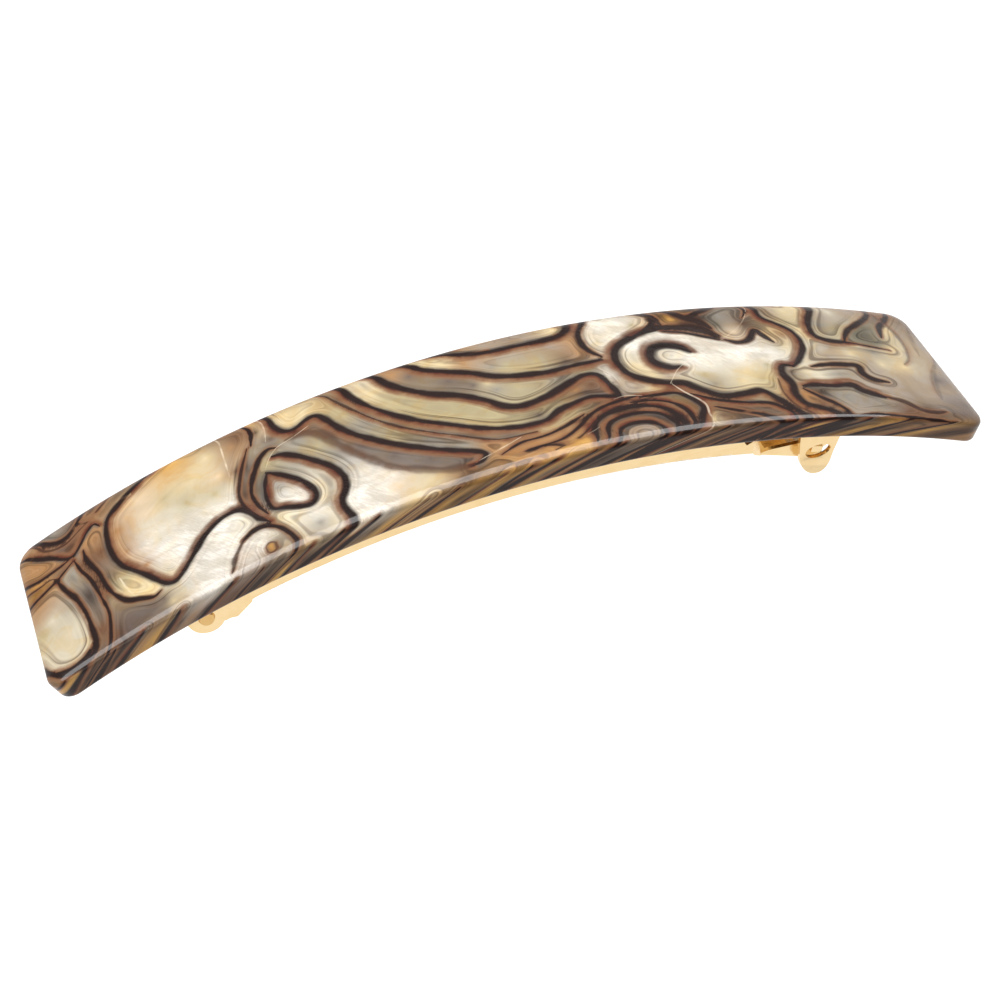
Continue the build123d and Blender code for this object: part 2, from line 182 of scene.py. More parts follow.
    (0.34, 0.8, 0, ((39.6, -6.9), (41.2, -7.6), (42.6, -8.9), (44.2, -9.2), (45.6, -8.8))),
)

# Pale hairline seams between cells, and one painted glint: half width and points.
SEAMS_AND_GLINT = (
    (0.07, ((17.5, -2.5), (19.8, 0.2), (25, 3.5), (28, 5.8), (29.6, 7.6), (31, 10.2))),
    (0.12, ((-26.3, 10), (-26.4, 7), (-26.5, 3.6))),
    (0.08, ((-23, 2.3), (-22.3, 3.6), (-21.2, 4.7), (-19.4, 5.2), (-17.6, 5.9))),
    (0.14, ((17.6, -2.7), (18.3, -4.2), (19.6, -6.4), (19.4, -8.4), (19.6, -10.2))),
    (0.30, ((11.8, 0.9), (12.1, -1), (12.6, -2.8))),
    # a painted glint: a pale streak standing in for a highlight, drawn as a seam
    (0.16, ((-39.9, -2), (-39.5, -3.8), (-39, -5.4))),
    (0.10, ((-21.7, 10), (-21.7, 8), (-22, 6.2))),
    (0.10, ((-3.8, -7.7), (-1.6, -7), (0.8, -6.1))),
    (0.10, ((11.2, -3.6), (12.4, -3.4), (14, -3.8))),
    (0.10, ((7, -8), (7.8, -7.7), (8.3, -7.4))),
)

# Tones of the acetate, one of them partly a painted reflection, as sRGB, and where on the plate each one
# shows.
TONES = {
    "pearl": ((252, 247, 238), (
        (-35, -1.4), (-33.6, -3.4), (-36.4, 0.6), (-31, -6), (-28.4, -3.2), (-29.5, -7.6), (-33, -2.8),
        (-30.6, -1.2), (-27.4, -0.4), (-26, -7), (-21.2, -3.2), (-20.2, -4.3), (-20, -6.3), (-14.6, -5.6),
        (-13.8, -7.8), (-15.8, -7.6), (-14, -9.8), (-30.5, -10.2), (14.2, 8.8), (15.6, 6.9), (16, 9.6),
        (16.2, 4.5), (18, 5.2), (20, 5.1), (21.4, 4.2), (23, 4.2), (22.6, 3), (21, 0.6), (24, 1.6),
        (26.6, 1.4), (28.6, 1.8), (30, 0.8), (12.1, 0.2), (-32.4, -8.6), (-30.8, -4.4))),
    "shell": ((196, 187, 166), (
        (-47.6, -2), (-46.6, -5), (-46.4, -8), (-36, 3), (-35, 0), (-33, 3), (-35.2, -4.4), (-28.5, 1.2),
        (-34.2, -8), (-26.8, -3.6), (-24.2, -7.6), (-18, -3.6), (-18.6, -5.6), (-22, -6), (-18.4, -9),
        (-11.2, 9.2), (13, 6), (15.2, 3), (19.1, 2.2), (23.6, -1.4), (31, 1.6), (35, 2.6), (33.6, -3.2),
        (32.6, -2.6), (40, 9))),
    "cream": ((204, 187, 150), (
        (-30, 5.8), (-28.2, 8), (-38.8, -4), (-37.6, -5.6), (-35.5, -8.8), (-19.2, 9), (-17.6, 8.2),
        (-23.4, -5.4), (-10.4, 7.4), (-9, -8.4), (-10.6, -9.8), (-4.2, 9.6), (-2.8, 8.4), (0.5, 3.4),
        (9.4, 9.4), (15, 1), (16.2, -0.6), (15.6, -3), (26, -2), (25, -3.6), (31.8, 2.6), (31, 5),
        (34.6, 8.8), (35.4, 5), (36.4, 9.6), (45.3, 5.8), (45, 2.6), (44.5, -1), (39, 1), (42, -0.8),
        (19.6, -9.2))),
    "olive": ((168, 155, 120), (
        (-48.9, -3), (-33.2, 5.2), (-31.4, 3), (-28.4, 2.2), (-39.5, -2.6), (-22.6, 3), (-17.4, 2.4),
        (-14.3, 6.2), (-10, 0.2), (-9, 5.4), (-6.8, 3), (-3.6, 0.6), (-0.6, -1.8), (2, -2.8), (5, -2.4),
        (5.6, -4.6), (3, 1.6), (6, 5), (10.4, 1.9), (3, 5.2), (17.2, 8), (21.4, -1.8), (28.6, -1),
        (27.2, -3.4), (39.2, 5.4), (34, 6.6), (16.2, -4.9))),
    "grey": ((136, 130, 120), (
        (-45, 9.8), (-45.1, -1.5), (-44.4, 2.5), (-23.6, 5.6), (-22.6, -1), (-20, 1.4), (-19.2, 4.2),
        (-16, 0), (-20, -8.2), (-12.6, 3), (-7.2, -2.6), (-4.4, -4.8), (1, 2), (7.4, 1.4), (1.6, 5.6),
        (22, -3.6), (26.8, 8.2), (36, -2.9), (34.6, -7), (38.4, -8), (42, 1.4), (37.8, 6.2), (30.4, 5.4))),
    "dusk": ((94, 82, 76), (
        (-40.2, -8.6), (-39, -10.4), (-37.4, -8.2), (-36.4, -9.8), (-36.4, -8), (47.6, -3), (49, 6.6),
        (48.8, -7.4), (-45.2, 6.8), (-43.4, -2), (-42.4, 2.4), (-40.9, -1), (-38.6, -8.6), (-21.4, 6.4),
        (-24.6, 3.8), (-25.6, 0), (-15.6, 3.6), (-13.4, 0), (-11, -3), (-8, -5.2), (-5, -7.2), (-6.4, 7.8),
        (-3, 5.2), (-1, 3.6), (0, -5), (9, -1.7), (3.6, -3.6), (8.8, 4), (12, -4.5), (14.4, -7.6),
        (24, -7.4), (26.4, -7.6), (23, -10), (30.7, -2.4), (47.6, -9), (45.6, 8.4))),
    "brown": ((96, 66, 48), (
        (-43.6, 6.1), (-42.4, 8.6), (-41, 3), (-43, -7), (-41.4, -9), (-25.8, 4), (-24.6, 8.6),
        (-17.8, 6.2), (-13.4, 8.2), (-11.9, 5), (-9, 1.6), (-6, -1), (-3, -3.4), (10, -0.6), (10.6, -3.7),
        (9, -5.1), (15.3, -9.4), (20.6, -8.8), (29, 6.6), (31.6, -8), (41, -9.2), (-5.6, -9.6))),
    "tan": ((156, 118, 80), (
        (-48, 6.5), (-46.8, 5.3), (-48.5, 1.1), (-49.7, -0.6), (-42, 5.6), (-41.6, 9.8), (-38.8, 4.5),
        (-38.4, 1), (-36.9, -2.2), (-25.4, 7.6), (-2, -6.5), (-7.8, 9), (-0.8, 7.6), (10.4, 7.2), (10.6, 5),
        (2, -7.5), (5, -7), (8, -1), (9.7, -8.8), (12, -7.1), (17.9, -7), (21.6, -6.6), (28.8, -5),
        (32.7, 4.4), (31, -6.6), (33.2, -9.6), (1, -9.4))),
    "ochre": ((196, 150, 78), (
        (22.4, 9), (-25.1, -8.4), (-31, 9.8), (-28.5, -7.3), (-29, -8.7), (-48.5, 4), (-49, 2.7),
        (-32, 9.4), (-25.2, -8.7), (4, -9.4), (6, -9), (21.6, 8.2), (29, -7.6), (30.8, -10.4),
        (7.8, -8.2))),
    "peach": ((208, 186, 156), (
        (-36, 7.2), (-35.6, 4.6), (-27.6, 4.4), (-21.5, 8), (-12, -7.7), (18.6, 8.4), (27.6, 5))),
    # a grey-brown veil: in places the acetate's own tone, and at the high s end a painted reflection of a
    # softbox on the polished face
    "haze_and_painted_reflection": ((150, 137, 124), (
        (2, 6.6), (5, 6.8), (8, 6.7), (2, 9.5), (6, 9.3), (12.4, -9.7), (13, 2.2), (13.1, 0), (14, -2.5),
        (17.8, -1.5), (31, 8), (33, 8.4), (37, 1.8), (36, 0.4), (38.8, 8), (42.4, 9.4), (46.6, 5), (46, 2),
        (48.6, 4), (48.5, -1), (48, -5), (45, -6), (44, -3), (40.6, -2.2), (39.8, -5.2), (41.6, -6),
        (40.6, -0.4), (35.6, -9.4))),
    "moss": ((92, 88, 76), (
        (41.6, 4.6), (43, 6.2), (43.4, 3.6), (25.9, 6.6))),
    "maroon": ((42, 21, 15), (
        (-22.6, 8.4), (-1.6, 10.2), (24.6, 9.9), (43.6, -8.6), (44.9, -9.1), (32.2, -6.2), (24.6, 8),
        (23.6, 6.1), (22.6, 7.4), (20.4, 8.8), (24.6, 4.9))),
}

# Tones that come up in turn along the plate's edges
EDGE_TONES = ("brown", "maroon", "ochre", "maroon", "dusk", "brown", "tan", "maroon")

VEIN_INK = (28, 9, 4)
VEIN_RUST = (84, 36, 20)
VEIN_BROWN = (124, 84, 56)
VEIN_GREY = (84, 78, 73)
# the pale colour of the seams and of the painted glint
SEAM_AND_GLINT_CREAM = (232, 216, 190)


# ---- Small helpers ----

def linear(rgb):
    """An sRGB colour of 0 to 255 as linear numbers with alpha."""
    parts = [c / 255 for c in rgb]
    return tuple(c / 12.92 if c <= 0.04045 else ((c + 0.055) / 1.055) ** 2.4 for c in parts) + (1.0,)


def smooth_line(points, step=0.25):
    """Points about step apart along the smooth line through the given points."""
    p = np.array(points, float)
    p = np.vstack([2 * p[0] - p[1], p, 2 * p[-1] - p[-2]])
    found = []
    for a, b, c, d in zip(p, p[1:], p[2:], p[3:]):
        count = max(2, int(np.linalg.norm(c - b) / step))
        t = np.arange(count)[:, None] / count
        found.append(0.5 * (2 * b + (c - a) * t + (2 * a - 5 * b + 4 * c - d) * t ** 2
                            + (3 * b - a - 3 * c + d) * t ** 3))
    return np.vstack(found + [p[-2:-1]])


def run_off(points, reach=5.0):
    """The points, carried on past the plate's edge where the line ends at the edge."""
    p = [np.array(q, float) for q in points]
    side_edge, end_edge = half_width - 0.7, half_length - 0.6
    for end, inner, place in ((p[0], p[1], 0), (p[-1], p[-2], len(p))):
        if abs(end[1]) > side_edge or abs(end[0]) > end_edge:
            way = (end - inner) / np.linalg.norm(end - inner)
            p.insert(place if place == 0 else len(p), end + way * reach)
    return p


def edge_veins():
    """Veins that only the plate's long edges show, where the layers come out one after another."""
    chance = np.random.default_rng(11)
    near, far = half_width + 0.3, half_width + 4.0
    found = []
    for sign in (-1, 1):
        s = -half_length
        while s < half_length:
            lean = chance.uniform(-1.2, 1.6)
            found.append((chance.uniform(0.2, 0.75), 1.0, int(chance.integers(-1, 2)),
                          ((s, sign * near), (s + lean, sign * far))))
            s += chance.uniform(2.2, 5.6)
    return found


# ---- The pattern as fields on a flat map of the plate ----

# The map is wider than the plate, since the edges show what lies past its outline.
map_step = 0.16
map_s = map_step * np.arange(-360, 393)
map_y = map_step * np.arange(-92, 93)
grid_s, grid_y = np.meshgrid(map_s, map_y, indexing="ij")

far_off = 6.0  # no stroke is felt further away than this
thin_end, taper_length = 0.35, 1.4  # a stroke narrows to this share over this length at each end
glow_reach, glow_per_width = 0.55, 2.2  # the browning's reach, and what each mm of half width adds
short_reach = 0.62  # of the browning's reach, for the greying
dark_ink = 0.5  # only strokes with more ink than this have growth bands beside them
lane_blur = 0.45  # softens the creases midway between two strokes


def stroke_fields(strokes):
    """Fields of a list of strokes, each (half width, ink, glow side, points).

    gap is the distance to the nearest one, side its sign, width and ink are that one's, and dark_gap is
    the distance to the nearest dark one. warm and cool say how strongly each place is browned or greyed
    by the strokes near it.
    """
    places = np.stack([grid_s.ravel(), grid_y.ravel()], 1)
    gap, side = np.full(len(places), far_off), np.ones(len(places))
    dark_gap = np.full(len(places), far_off)
    width, ink = np.full(len(places), 0.1), np.zeros(len(places))
    warm, cool = np.zeros(len(places)), np.zeros(len(places))
    for half, strength, glow_side, points in strokes:
        line = smooth_line(points)
        low, high = line.min(0) - far_off, line.max(0) + far_off
        near = np.flatnonzero(((places > low) & (places < high)).all(1))
        here = places[near]
        off_line, lean, to_end = np.full(len(here), 1e9), np.zeros(len(here)), np.zeros(len(here))
        lengths = np.linalg.norm(np.diff(line, axis=0), axis=1)
        starts = np.concatenate([[0], np.cumsum(lengths)])
        for a, b, start, length in zip(line, line[1:], starts, lengths):
            way = (b - a) / length
            local = here - a
            along = np.clip(local @ way, 0, length)
            off = local - along[:, None] * way
            distance = np.hypot(off[:, 0], off[:, 1])
            closer = distance < off_line
            off_line[closer] = distance[closer]
            turn = way[0] * local[:, 1] - way[1] * local[:, 0]
            lean[closer] = (turn / np.maximum(distance, 1e-6))[closer]
            reached = start + along
            to_end[closer] = np.minimum(reached, starts[-1] - reached)[closer]
        taper = thin_end + (1 - thin_end) * np.clip(to_end / taper_length, 0, 1)
        reach = (glow_reach + glow_per_width * half) * (0.5 + 0.5 * taper)
        fade = strength * np.clip(1 - off_line / reach, 0, 1)
        short_fade = strength * np.clip(1 - off_line / (short_reach * reach), 0, 1)
        if glow_side:
            warm_side = np.clip(0.5 + 0.9 * lean * glow_side, 0, 1)
            browned, greyed = fade * warm_side, short_fade * (1 - warm_side)
        else:
            browned, greyed = 0.75 * short_fade, 0.35 * short_fade
        warm[near] = 1 - (1 - warm[near]) * (1 - browned)
        cool[near] = 1 - (1 - cool[near]) * (1 - greyed)
        if strength > dark_ink:
            dark_gap[near] = np.minimum(dark_gap[near], off_line)
        nearest = off_line < gap[near]
        chosen = near[nearest]
        gap[chosen] = off_line[nearest]
        side[chosen] = np.where(lean[nearest] >= 0, 1.0, -1.0)
        width[chosen] = (half * taper)[nearest]
        ink[chosen] = strength
    found = {"side": gap * side, "gap": gap, "dark_gap": dark_gap, "width": width, "ink": ink,
             "warm": warm, "cool": cool}
    return {name: field.reshape(grid_s.shape) for name, field in found.items()}


def resample(values, shape):
    """A map at another size, by linear interpolation."""
    for axis, size in enumerate(shape):
        at = np.linspace(0, values.shape[axis] - 1, size)
        low = np.clip(at.astype(int), 0, values.shape[axis] - 2)
        share = (at - low).reshape([-1 if k == axis else 1 for k in range(values.ndim)])
        values = np.take(values, low, axis) * (1 - share) + np.take(values, low + 1, axis) * share
    return values


def spread_tones(gap_to_vein):
    """Each tone spreads from its places as wet paint would, and stops at the veins."""
    names = list(TONES)
    seeds = [(s, y, names.index(n)) for n in names for s, y in TONES[n][1]]
    chance = np.random.default_rng(5)
    edge_y = half_width + 1.4
    for s in np.arange(-54, 55, 1.5):
        for y in (-edge_y, edge_y):
            seeds.append((s, y, names.index(EDGE_TONES[chance.integers(len(EDGE_TONES))])))
    value, faint = None, 1e-6
    # From a coarse map to the full one: map steps to a cell, and rounds of spreading
    for coarse, turns in ((4, 900), (2, 350), (1, 120)):
        shape = ((len(map_s) - 1) // coarse + 1, (len(map_y) - 1) // coarse + 1)
        open_way = np.clip(resample(gap_to_vein, shape) / 0.7, 0.02, 1.0)
        pull = np.zeros(shape)
        wanted = np.zeros(shape + (len(names),))
        for s, y, k in seeds:
            i = int(round((s - map_s[0]) / (map_step * coarse)))
            j = int(round((y - map_y[0]) / (map_step * coarse)))
            pull[i, j] = 1.0
            wanted[i, j] = 0.0
            wanted[i, j, k] = 1.0
        value = wanted.copy() if value is None else resample(value, shape)
        across_s = np.minimum(open_way[1:], open_way[:-1])[..., None]
        across_y = np.minimum(open_way[:, 1:], open_way[:, :-1])[..., None]
        weight = np.zeros(shape + (1,)) + faint
        weight[1:] += across_s
        weight[:-1] += across_s
        weight[:, 1:] += across_y
        weight[:, :-1] += across_y
        for _ in range(turns):
            total = value * faint
            total[1:] += across_s * value[:-1]
            total[:-1] += across_s * value[1:]
            total[:, 1:] += across_y * value[:, :-1]
            total[:, :-1] += across_y * value[:, 1:]
            value = np.where(pull[..., None] > 0, wanted, total / weight)
    value = np.clip(value, 0, 1) ** 1.4
    value /= np.maximum(value.sum(-1, keepdims=True), faint)
    colour = value @ np.array([linear(TONES[n][0])[:3] for n in names])
    return colour, value[..., names.index("pearl")]


def blurred(values, reach):
    """A map softened over that many millimetres."""
    offsets = np.arange(-3 * reach, 3 * reach + map_step, map_step)
    kernel = np.exp(-0.5 * (offsets / reach) ** 2)
    kernel /= kernel.sum()
    half = len(kernel) // 2
    for axis in (0, 1):
        pad = [(half, len(kernel) - 1 - half) if k == axis else (0, 0) for k in (0, 1)]
        padded = np.pad(values, pad, mode="edge")
        count = values.shape[axis]
        values = sum(w * np.take(padded, range(k, k + count), axis) for k, w in enumerate(kernel))
    return values


def sampled(values, s, y):
    """A map's value at each (s, y)."""
    a = np.clip((s - map_s[0]) / map_step, 0, len(map_s) - 1.001)
    b = np.clip((y - map_y[0]) / map_step, 0, len(map_y) - 1.001)
    i, j = a.astype(int), b.astype(int)
    u, v = a - i, b - j
    if values.ndim == 3:
        u, v = u[:, None], v[:, None]
    return (values[i, j] * (1 - u) * (1 - v) + values[i + 1, j] * u * (1 - v)
            + values[i, j + 1] * (1 - u) * v + values[i + 1, j + 1] * u * v)


# ---- The plate ----

def edge_profile():
    """(inset, depth) round the plate's edge: the gentle roll, a tight round, the side and the back."""
    gentle = roll_width * roll_share
    fall = math.tan(roll_tilt) / (2 * gentle)
    rows = [(roll_width - t, fall * t * t) for t in np.linspace(0, gentle, 9)[1:]]
    radius = (roll_width - gentle) / (1 - math.sin(roll_tilt))
    start = rows[-1][1]
    for tilt in np.linspace(roll_tilt, math.pi / 2, 9)[1:]:
        depth = start + radius * (math.cos(roll_tilt) - math.cos(tilt))
        rows.append((radius * (1 - math.sin(tilt)), depth))
    wall = thickness - back_round
    rows += [(0.0, d) for d in np.linspace(rows[-1][1], wall, wall_rows + 1)[1:]]
    for turn in np.linspace(0, math.pi / 2, 5)[1:]:
        rows.append((back_round * (1 - math.cos(turn)), wall + back_round * math.sin(turn)))
    return rows


def plate_mesh():
    """Vertices as (s, y, depth) and faces of the whole plate, laid flat."""
    straight_s, straight_y = half_length - corner_radius, half_width - corner_radius
    count_s, count_y = round(2 * straight_s / grid_step) + 1, round(2 * straight_y / grid_step) + 1
    line_s = np.linspace(-straight_s, straight_s, count_s)
    line_y = np.linspace(-straight_y, straight_y, count_y)
    rows, faces = [], []

    def face_grid(depth, flip):
        first = len(rows)
        rows.extend((s, y, depth) for s in line_s for y in line_y)
        for i in range(count_s - 1):
            for j in range(count_y - 1):
                a = first + i * count_y + j
                quad = (a, a + count_y, a + count_y + 1, a + 1)
                faces.append(quad[::-1] if flip else quad)
        return first

    def rim(first):
        """The grid's border in order, corner by corner, as (vertex, outward direction)."""
        def at(i, j):
            return first + i * count_y + j

        sides = (
            ([at(i, 0) for i in range(count_s)], -90),
            ([at(count_s - 1, j) for j in range(count_y)], 0),
            ([at(i, count_y - 1) for i in reversed(range(count_s))], 90),
            ([at(0, j) for j in reversed(range(count_y))], 180),
        )
        fans = 10
        border = []
        for line, angle in sides:
            border += [(v, angle) for v in line]
            border += [(line[-1], angle + 90 * k / fans) for k in range(1, fans)]
        return border

    top = rim(face_grid(0.0, False))
    previous = [v for v, _ in top]
    for inset, depth in edge_profile():
        first, out = len(rows), corner_radius - inset
        for v, angle in top:
            s, y, _ = rows[v]
            way = math.radians(angle)
            rows.append((s + out * math.cos(way), y + out * math.sin(way), depth))
        ring = list(range(first, first + len(top)))
        for k, a in enumerate(previous):
            b = previous[(k + 1) % len(previous)]
            c, d = ring[(k + 1) % len(ring)], ring[k]
            faces.append((a, d, c, b) if a != b else (a, d, c))
        previous = ring
    bottom = rim(face_grid(thickness, True))
    for k, a in enumerate(previous):
        b = previous[(k + 1) % len(previous)]
        c, d = bottom[(k + 1) % len(bottom)][0], bottom[k][0]
        faces.append((a, d, c, b) if c != d else (a, d, b))
    return np.array(rows), faces


def bent(flat):
    """Flat (s, y, depth) in millimetres bent to the plate's arc, in metres."""
    angle = flat[:, 0] / bend_radius
    radius = bend_radius - flat[:, 2]
    z = crown_height - bend_radius + radius * np.cos(angle)
    return np.stack([radius * np.sin(angle), flat[:, 1], z], 1) * MM


def number_attribute(mesh, name, values):
    mesh.attributes.new(name, "FLOAT", "POINT").data.foreach_set("value", values.astype(np.float32))


def make_plate():
    flat, faces = plate_mesh()
    mesh = bpy.data.meshes.new("acetate_plate")
    mesh.from_pydata(bent(flat), [], faces)
    mesh.shade_smooth()
    s = flat[:, 0] * (1 + flat[:, 2] / half_length) + layer_slant * flat[:, 2]
    y = flat[:, 1] * (1 + flat[:, 2] / half_width)

    veins = stroke_fields([v[:3] + (run_off(v[3]),) for v in VEINS] + edge_veins())
    seams = stroke_fields([(half, 1.0, 0, run_off(points)) for half, points in SEAMS_AND_GLINT])
    colour, pearl = spread_tones(veins["gap"])
    fields = {"vein_" + name: veins[name] for name in veins if name != "dark_gap"}
    fields.update({"seam_" + name: seams[name] for name in ("side", "gap", "width")})
    fields.update({"pearl": pearl, "lane": blurred(veins["dark_gap"], lane_blur)})
    for name, field in fields.items():
        number_attribute(mesh, name, sampled(field, s, y))
    number_attribute(mesh, "flat_s", s)
    number_attribute(mesh, "flat_y", y)
    tone = mesh.attributes.new("tone", "FLOAT_COLOR", "POINT")
    rgba = np.ones((len(flat), 4), np.float32)
    rgba[:, :3] = sampled(colour, s, y)
    tone.data.foreach_set("color", rgba.ravel())

    plate = bpy.data.objects.new("acetate_plate", mesh)
    bpy.context.scene.collection.objects.link(plate)
    return plate


# ---- Materials ----

class Graph:
    """A material's nodes, with one short method per kind of node."""

    def __init__(self, name):
        self.material = bpy.data.materials.new(name)
        self.material.use_nodes = True
        self.tree = self.material.node_tree
        self.shader = self.tree.nodes["Principled BSDF"]

    def plug(self, socket, value):
        if isinstance(value, bpy.types.NodeSocket):
            self.tree.links.new(value, socket)
        else:
            socket.default_value = value

    def number(self, name):
        node = self.tree.nodes.new("ShaderNodeAttribute")
        node.attribute_name = name
        return node.outputs["Fac"]

    def colour(self, name):
        node = self.tree.nodes.new("ShaderNodeAttribute")
        node.attribute_name = name
        return node.outputs["Color"]

    def math(self, operation, a, b=0.0, clamp=False):
        node = self.tree.nodes.new("ShaderNodeMath")
        node.operation = operation
        node.use_clamp = clamp
        self.plug(node.inputs[0], a)
        self.plug(node.inputs[1], b)
        return node.outputs[0]

    def ramp(self, value, low, high, to_low=0.0, to_high=1.0):
        node = self.tree.nodes.new("ShaderNodeMapRange")
        node.interpolation_type = "SMOOTHSTEP"
        for socket, v in zip(node.inputs, (value, low, high, to_low, to_high)):
            self.plug(socket, v)
        return node.outputs[0]

    def vector(self, x, y, z):
        node = self.tree.nodes.new("ShaderNodeCombineXYZ")
        for socket, v in zip(node.inputs, (x, y, z)):
            self.plug(socket, v)
        return node.outputs[0]

    def scaled(self, *parts):
        """A place with each part a (value, scale) pair or a plain number."""
        return self.vector(*(self.math("MULTIPLY", *part) if isinstance(part, tuple) else part
                             for part in parts))

    def less(self, value, share):
        """1 less that share of the value."""
        return self.math("SUBTRACT", 1.0, self.math("MULTIPLY", value, share))

    def noise(self, vector, scale, detail=3.0, roughness=0.55, distortion=0.0):
        node = self.tree.nodes.new("ShaderNodeTexNoise")
        self.plug(node.inputs["Vector"], vector)
        node.inputs["Scale"].default_value = scale
        node.inputs["Detail"].default_value = detail
        node.inputs["Roughness"].default_value = roughness
        node.inputs["Distortion"].default_value = distortion
        return node.outputs["Fac"]

    def mix(self, share, a, b, blend="MIX"):
        node = self.tree.nodes.new("ShaderNodeMix")
        node.data_type = "RGBA"
        node.blend_type = blend
        self.plug(node.inputs["Factor"], share)
        self.plug(node.inputs[6], a)
        self.plug(node.inputs[7], b)
        return node.outputs[2]

    def tinted(self, colour, tint):
        return self.mix(1.0, colour, tint + (1,), "MULTIPLY")

    def bump(self, height, strength, distance):
        node = self.tree.nodes.new("ShaderNodeBump")
        node.inputs["Strength"].default_value = strength
        node.inputs["Distance"].default_value = distance
        self.plug(node.inputs["Height"], height)
        return node.outputs[0]

    def place(self, stretch=(1, 1, 1)):
        """The object's own coordinates in millimetres, stretched."""
        coordinates = self.tree.nodes.new("ShaderNodeTexCoord")
        node = self.tree.nodes.new("ShaderNodeMapping")
        node.inputs["Scale"].default_value = [k / MM for k in stretch]
        self.tree.links.new(coordinates.outputs["Object"], node.inputs["Vector"])
        return node.outputs[0]


def line_distance(g, name):
    """The distance to the nearest line, exact where the mesh's own values cross zero."""
    crossing = g.math("ABSOLUTE", g.number(name + "_side"))
    return g.math("MAXIMUM", crossing, g.math("SUBTRACT", g.number(name + "_gap"), 0.11))


def acetate():
    g = Graph("shell_acetate")
    s, y = g.number("flat_s"), g.number("flat_y")
    on_plate = g.vector(s, y, 0.0)
    distance = line_distance(g, "vein")

    # Veins: a dark core of uneven width, and how strongly the places beside it are browned or greyed
    swell = g.ramp(g.noise(on_plate, 0.22, 2), 0.3, 0.7, 0.62, 1.45)
    width = g.math("MULTIPLY", g.number("vein_width"), swell)
    waver = g.math("SUBTRACT", g.noise(on_plate, 0.8, 3), 0.5)
    waver = g.math("MULTIPLY", waver, 0.16)
    reach = g.math("DIVIDE", g.math("ADD", distance, waver), width)
    core = g.math("MULTIPLY", g.ramp(reach, 0.45, 1.4, 1.0, 0.0), g.number("vein_ink"))
    uneven = g.ramp(g.noise(on_plate, 0.5, 3), 0.3, 0.7, 0.7, 1.25)
    warm = g.math("MULTIPLY", g.number("vein_warm"), uneven)
    cool = g.math("MULTIPLY", g.number("vein_cool"), uneven)

    # Growth bands that run beside the veins and fade towards the middle of a cell
    lane = g.number("lane")
    band = g.noise(g.scaled((lane, 2.6), (s, 0.07), (y, 0.07)), 1.0, 3, 0.5)
    fine = g.noise(g.scaled((lane, 4.6), (s, 0.10), (y, 0.10)), 1.0, 3, 0.6)
    pearl = g.number("pearl")
    cloud = g.noise(on_plate, 0.28, 3, 0.55, 0.5)
    banded = g.math("MULTIPLY", g.ramp(lane, 0.8, 1.8, 1.0, 0.05), g.less(pearl, 0.9))

    tone = g.colour("tone")
    dull, bright = g.tinted(tone, (0.42, 0.38, 0.35)), g.tinted(tone, (1.16, 1.15, 1.10))
    base = g.mix(banded, tone, g.mix(g.ramp(band, 0.38, 0.57), dull, bright))
    gold = g.noise(g.scaled((s, 0.26), (y, 0.26), 7.0), 1.0, 3, 0.5, 1.6)
    golden = g.math("MULTIPLY", g.ramp(gold, 0.44, 0.64, 0.0, 0.55), g.less(pearl, 0.7))
    base = g.mix(golden, base, g.tinted(base, (1.0, 0.86, 0.62)))
    clouded = g.ramp(cloud, 0.35, 0.75, 0.0, 0.4)
    base = g.mix(clouded, base, g.tinted(base, (0.74, 0.73, 0.74)))
    lined = g.math("MULTIPLY", g.ramp(fine, 0.44, 0.58, 0.0, 0.35), banded)
    base = g.mix(lined, base, g.tinted(base, (0.55, 0.45, 0.38)))
    base = g.mix(g.ramp(cool, 0.05, 0.85, 0.0, 0.85), base, linear(VEIN_GREY))
    base = g.mix(g.ramp(warm, 0.03, 0.50, 0.0, 0.85), base, linear(VEIN_BROWN))
    base = g.mix(g.ramp(warm, 0.32, 0.92, 0.0, 0.95), base, linear(VEIN_RUST))
    base = g.mix(core, base, linear(VEIN_INK))

    # Seams and one painted glint, broken up along their length
    seam_width = g.math("MULTIPLY", g.number("seam_width"), 0.7)
    seam = g.math("DIVIDE", line_distance(g, "seam"), seam_width)
    seam_and_glint_pale = g.math("MULTIPLY", g.ramp(seam, 0.5, 1.6, 1.0, 0.0),
                        g.ramp(g.noise(on_plate, 0.6, 3), 0.35, 0.65, 0.1, 0.5))
    base = g.mix(seam_and_glint_pale, base, linear(SEAM_AND_GLINT_CREAM))

    # Silky fibres and a slow sheen in the pearl. The slow sheen is painted sheen: the pearl's colour is
    # darkened in broad patches. The fibres darken it partly as real streaks and partly as painted sheen
    across = g.math("ADD", s, g.math("MULTIPLY", y, 0.7))
    silk = g.noise(g.scaled((across, 5.0), (y, 0.9), 0.0), 1.0, 5, 0.7, 0.4)
    sheen = g.noise(g.scaled((across, 0.30), (y, 0.42), 3.0), 1.0, 3, 0.5, 0.6)
    # painted shade of the sheen: a darker copy of the pearl's colour
    dim = g.tinted(base, (0.50, 0.46, 0.40))
    base = g.mix(g.math("MULTIPLY", pearl, g.ramp(sheen, 0.36, 0.62, 0.7, 0.0)), base, dim)
    base = g.mix(g.math("MULTIPLY", pearl, g.ramp(silk, 0.40, 0.66, 0.5, 0.0)), base, dim)

    g.plug(g.shader.inputs["Base Color"], base)
    lustre = g.math("MULTIPLY", pearl, g.math("SUBTRACT", 1.0, core), clamp=True)
    g.plug(g.shader.inputs["Metallic"], g.math("MULTIPLY", lustre, 0.2))
    g.plug(g.shader.inputs["Roughness"], g.ramp(silk, 0.3, 0.7, 0.32, 0.46))
    height = g.math("ADD", silk, g.math("MULTIPLY", sheen, 2.0))
    depth = g.math("ADD", g.math("MULTIPLY", pearl, 0.9), 0.1)
    g.plug(g.shader.inputs["Normal"], g.bump(g.math("MULTIPLY", height, depth), 0.5, 0.5 * MM))
    g.shader.inputs["Coat Weight"].default_value = 0.36
    g.shader.inputs["Coat Roughness"].default_value = 0.03
    g.shader.inputs["Coat IOR"].default_value = 1.5
    g.shader.inputs["Specular IOR Level"].default_value = 0.1
    return g.material


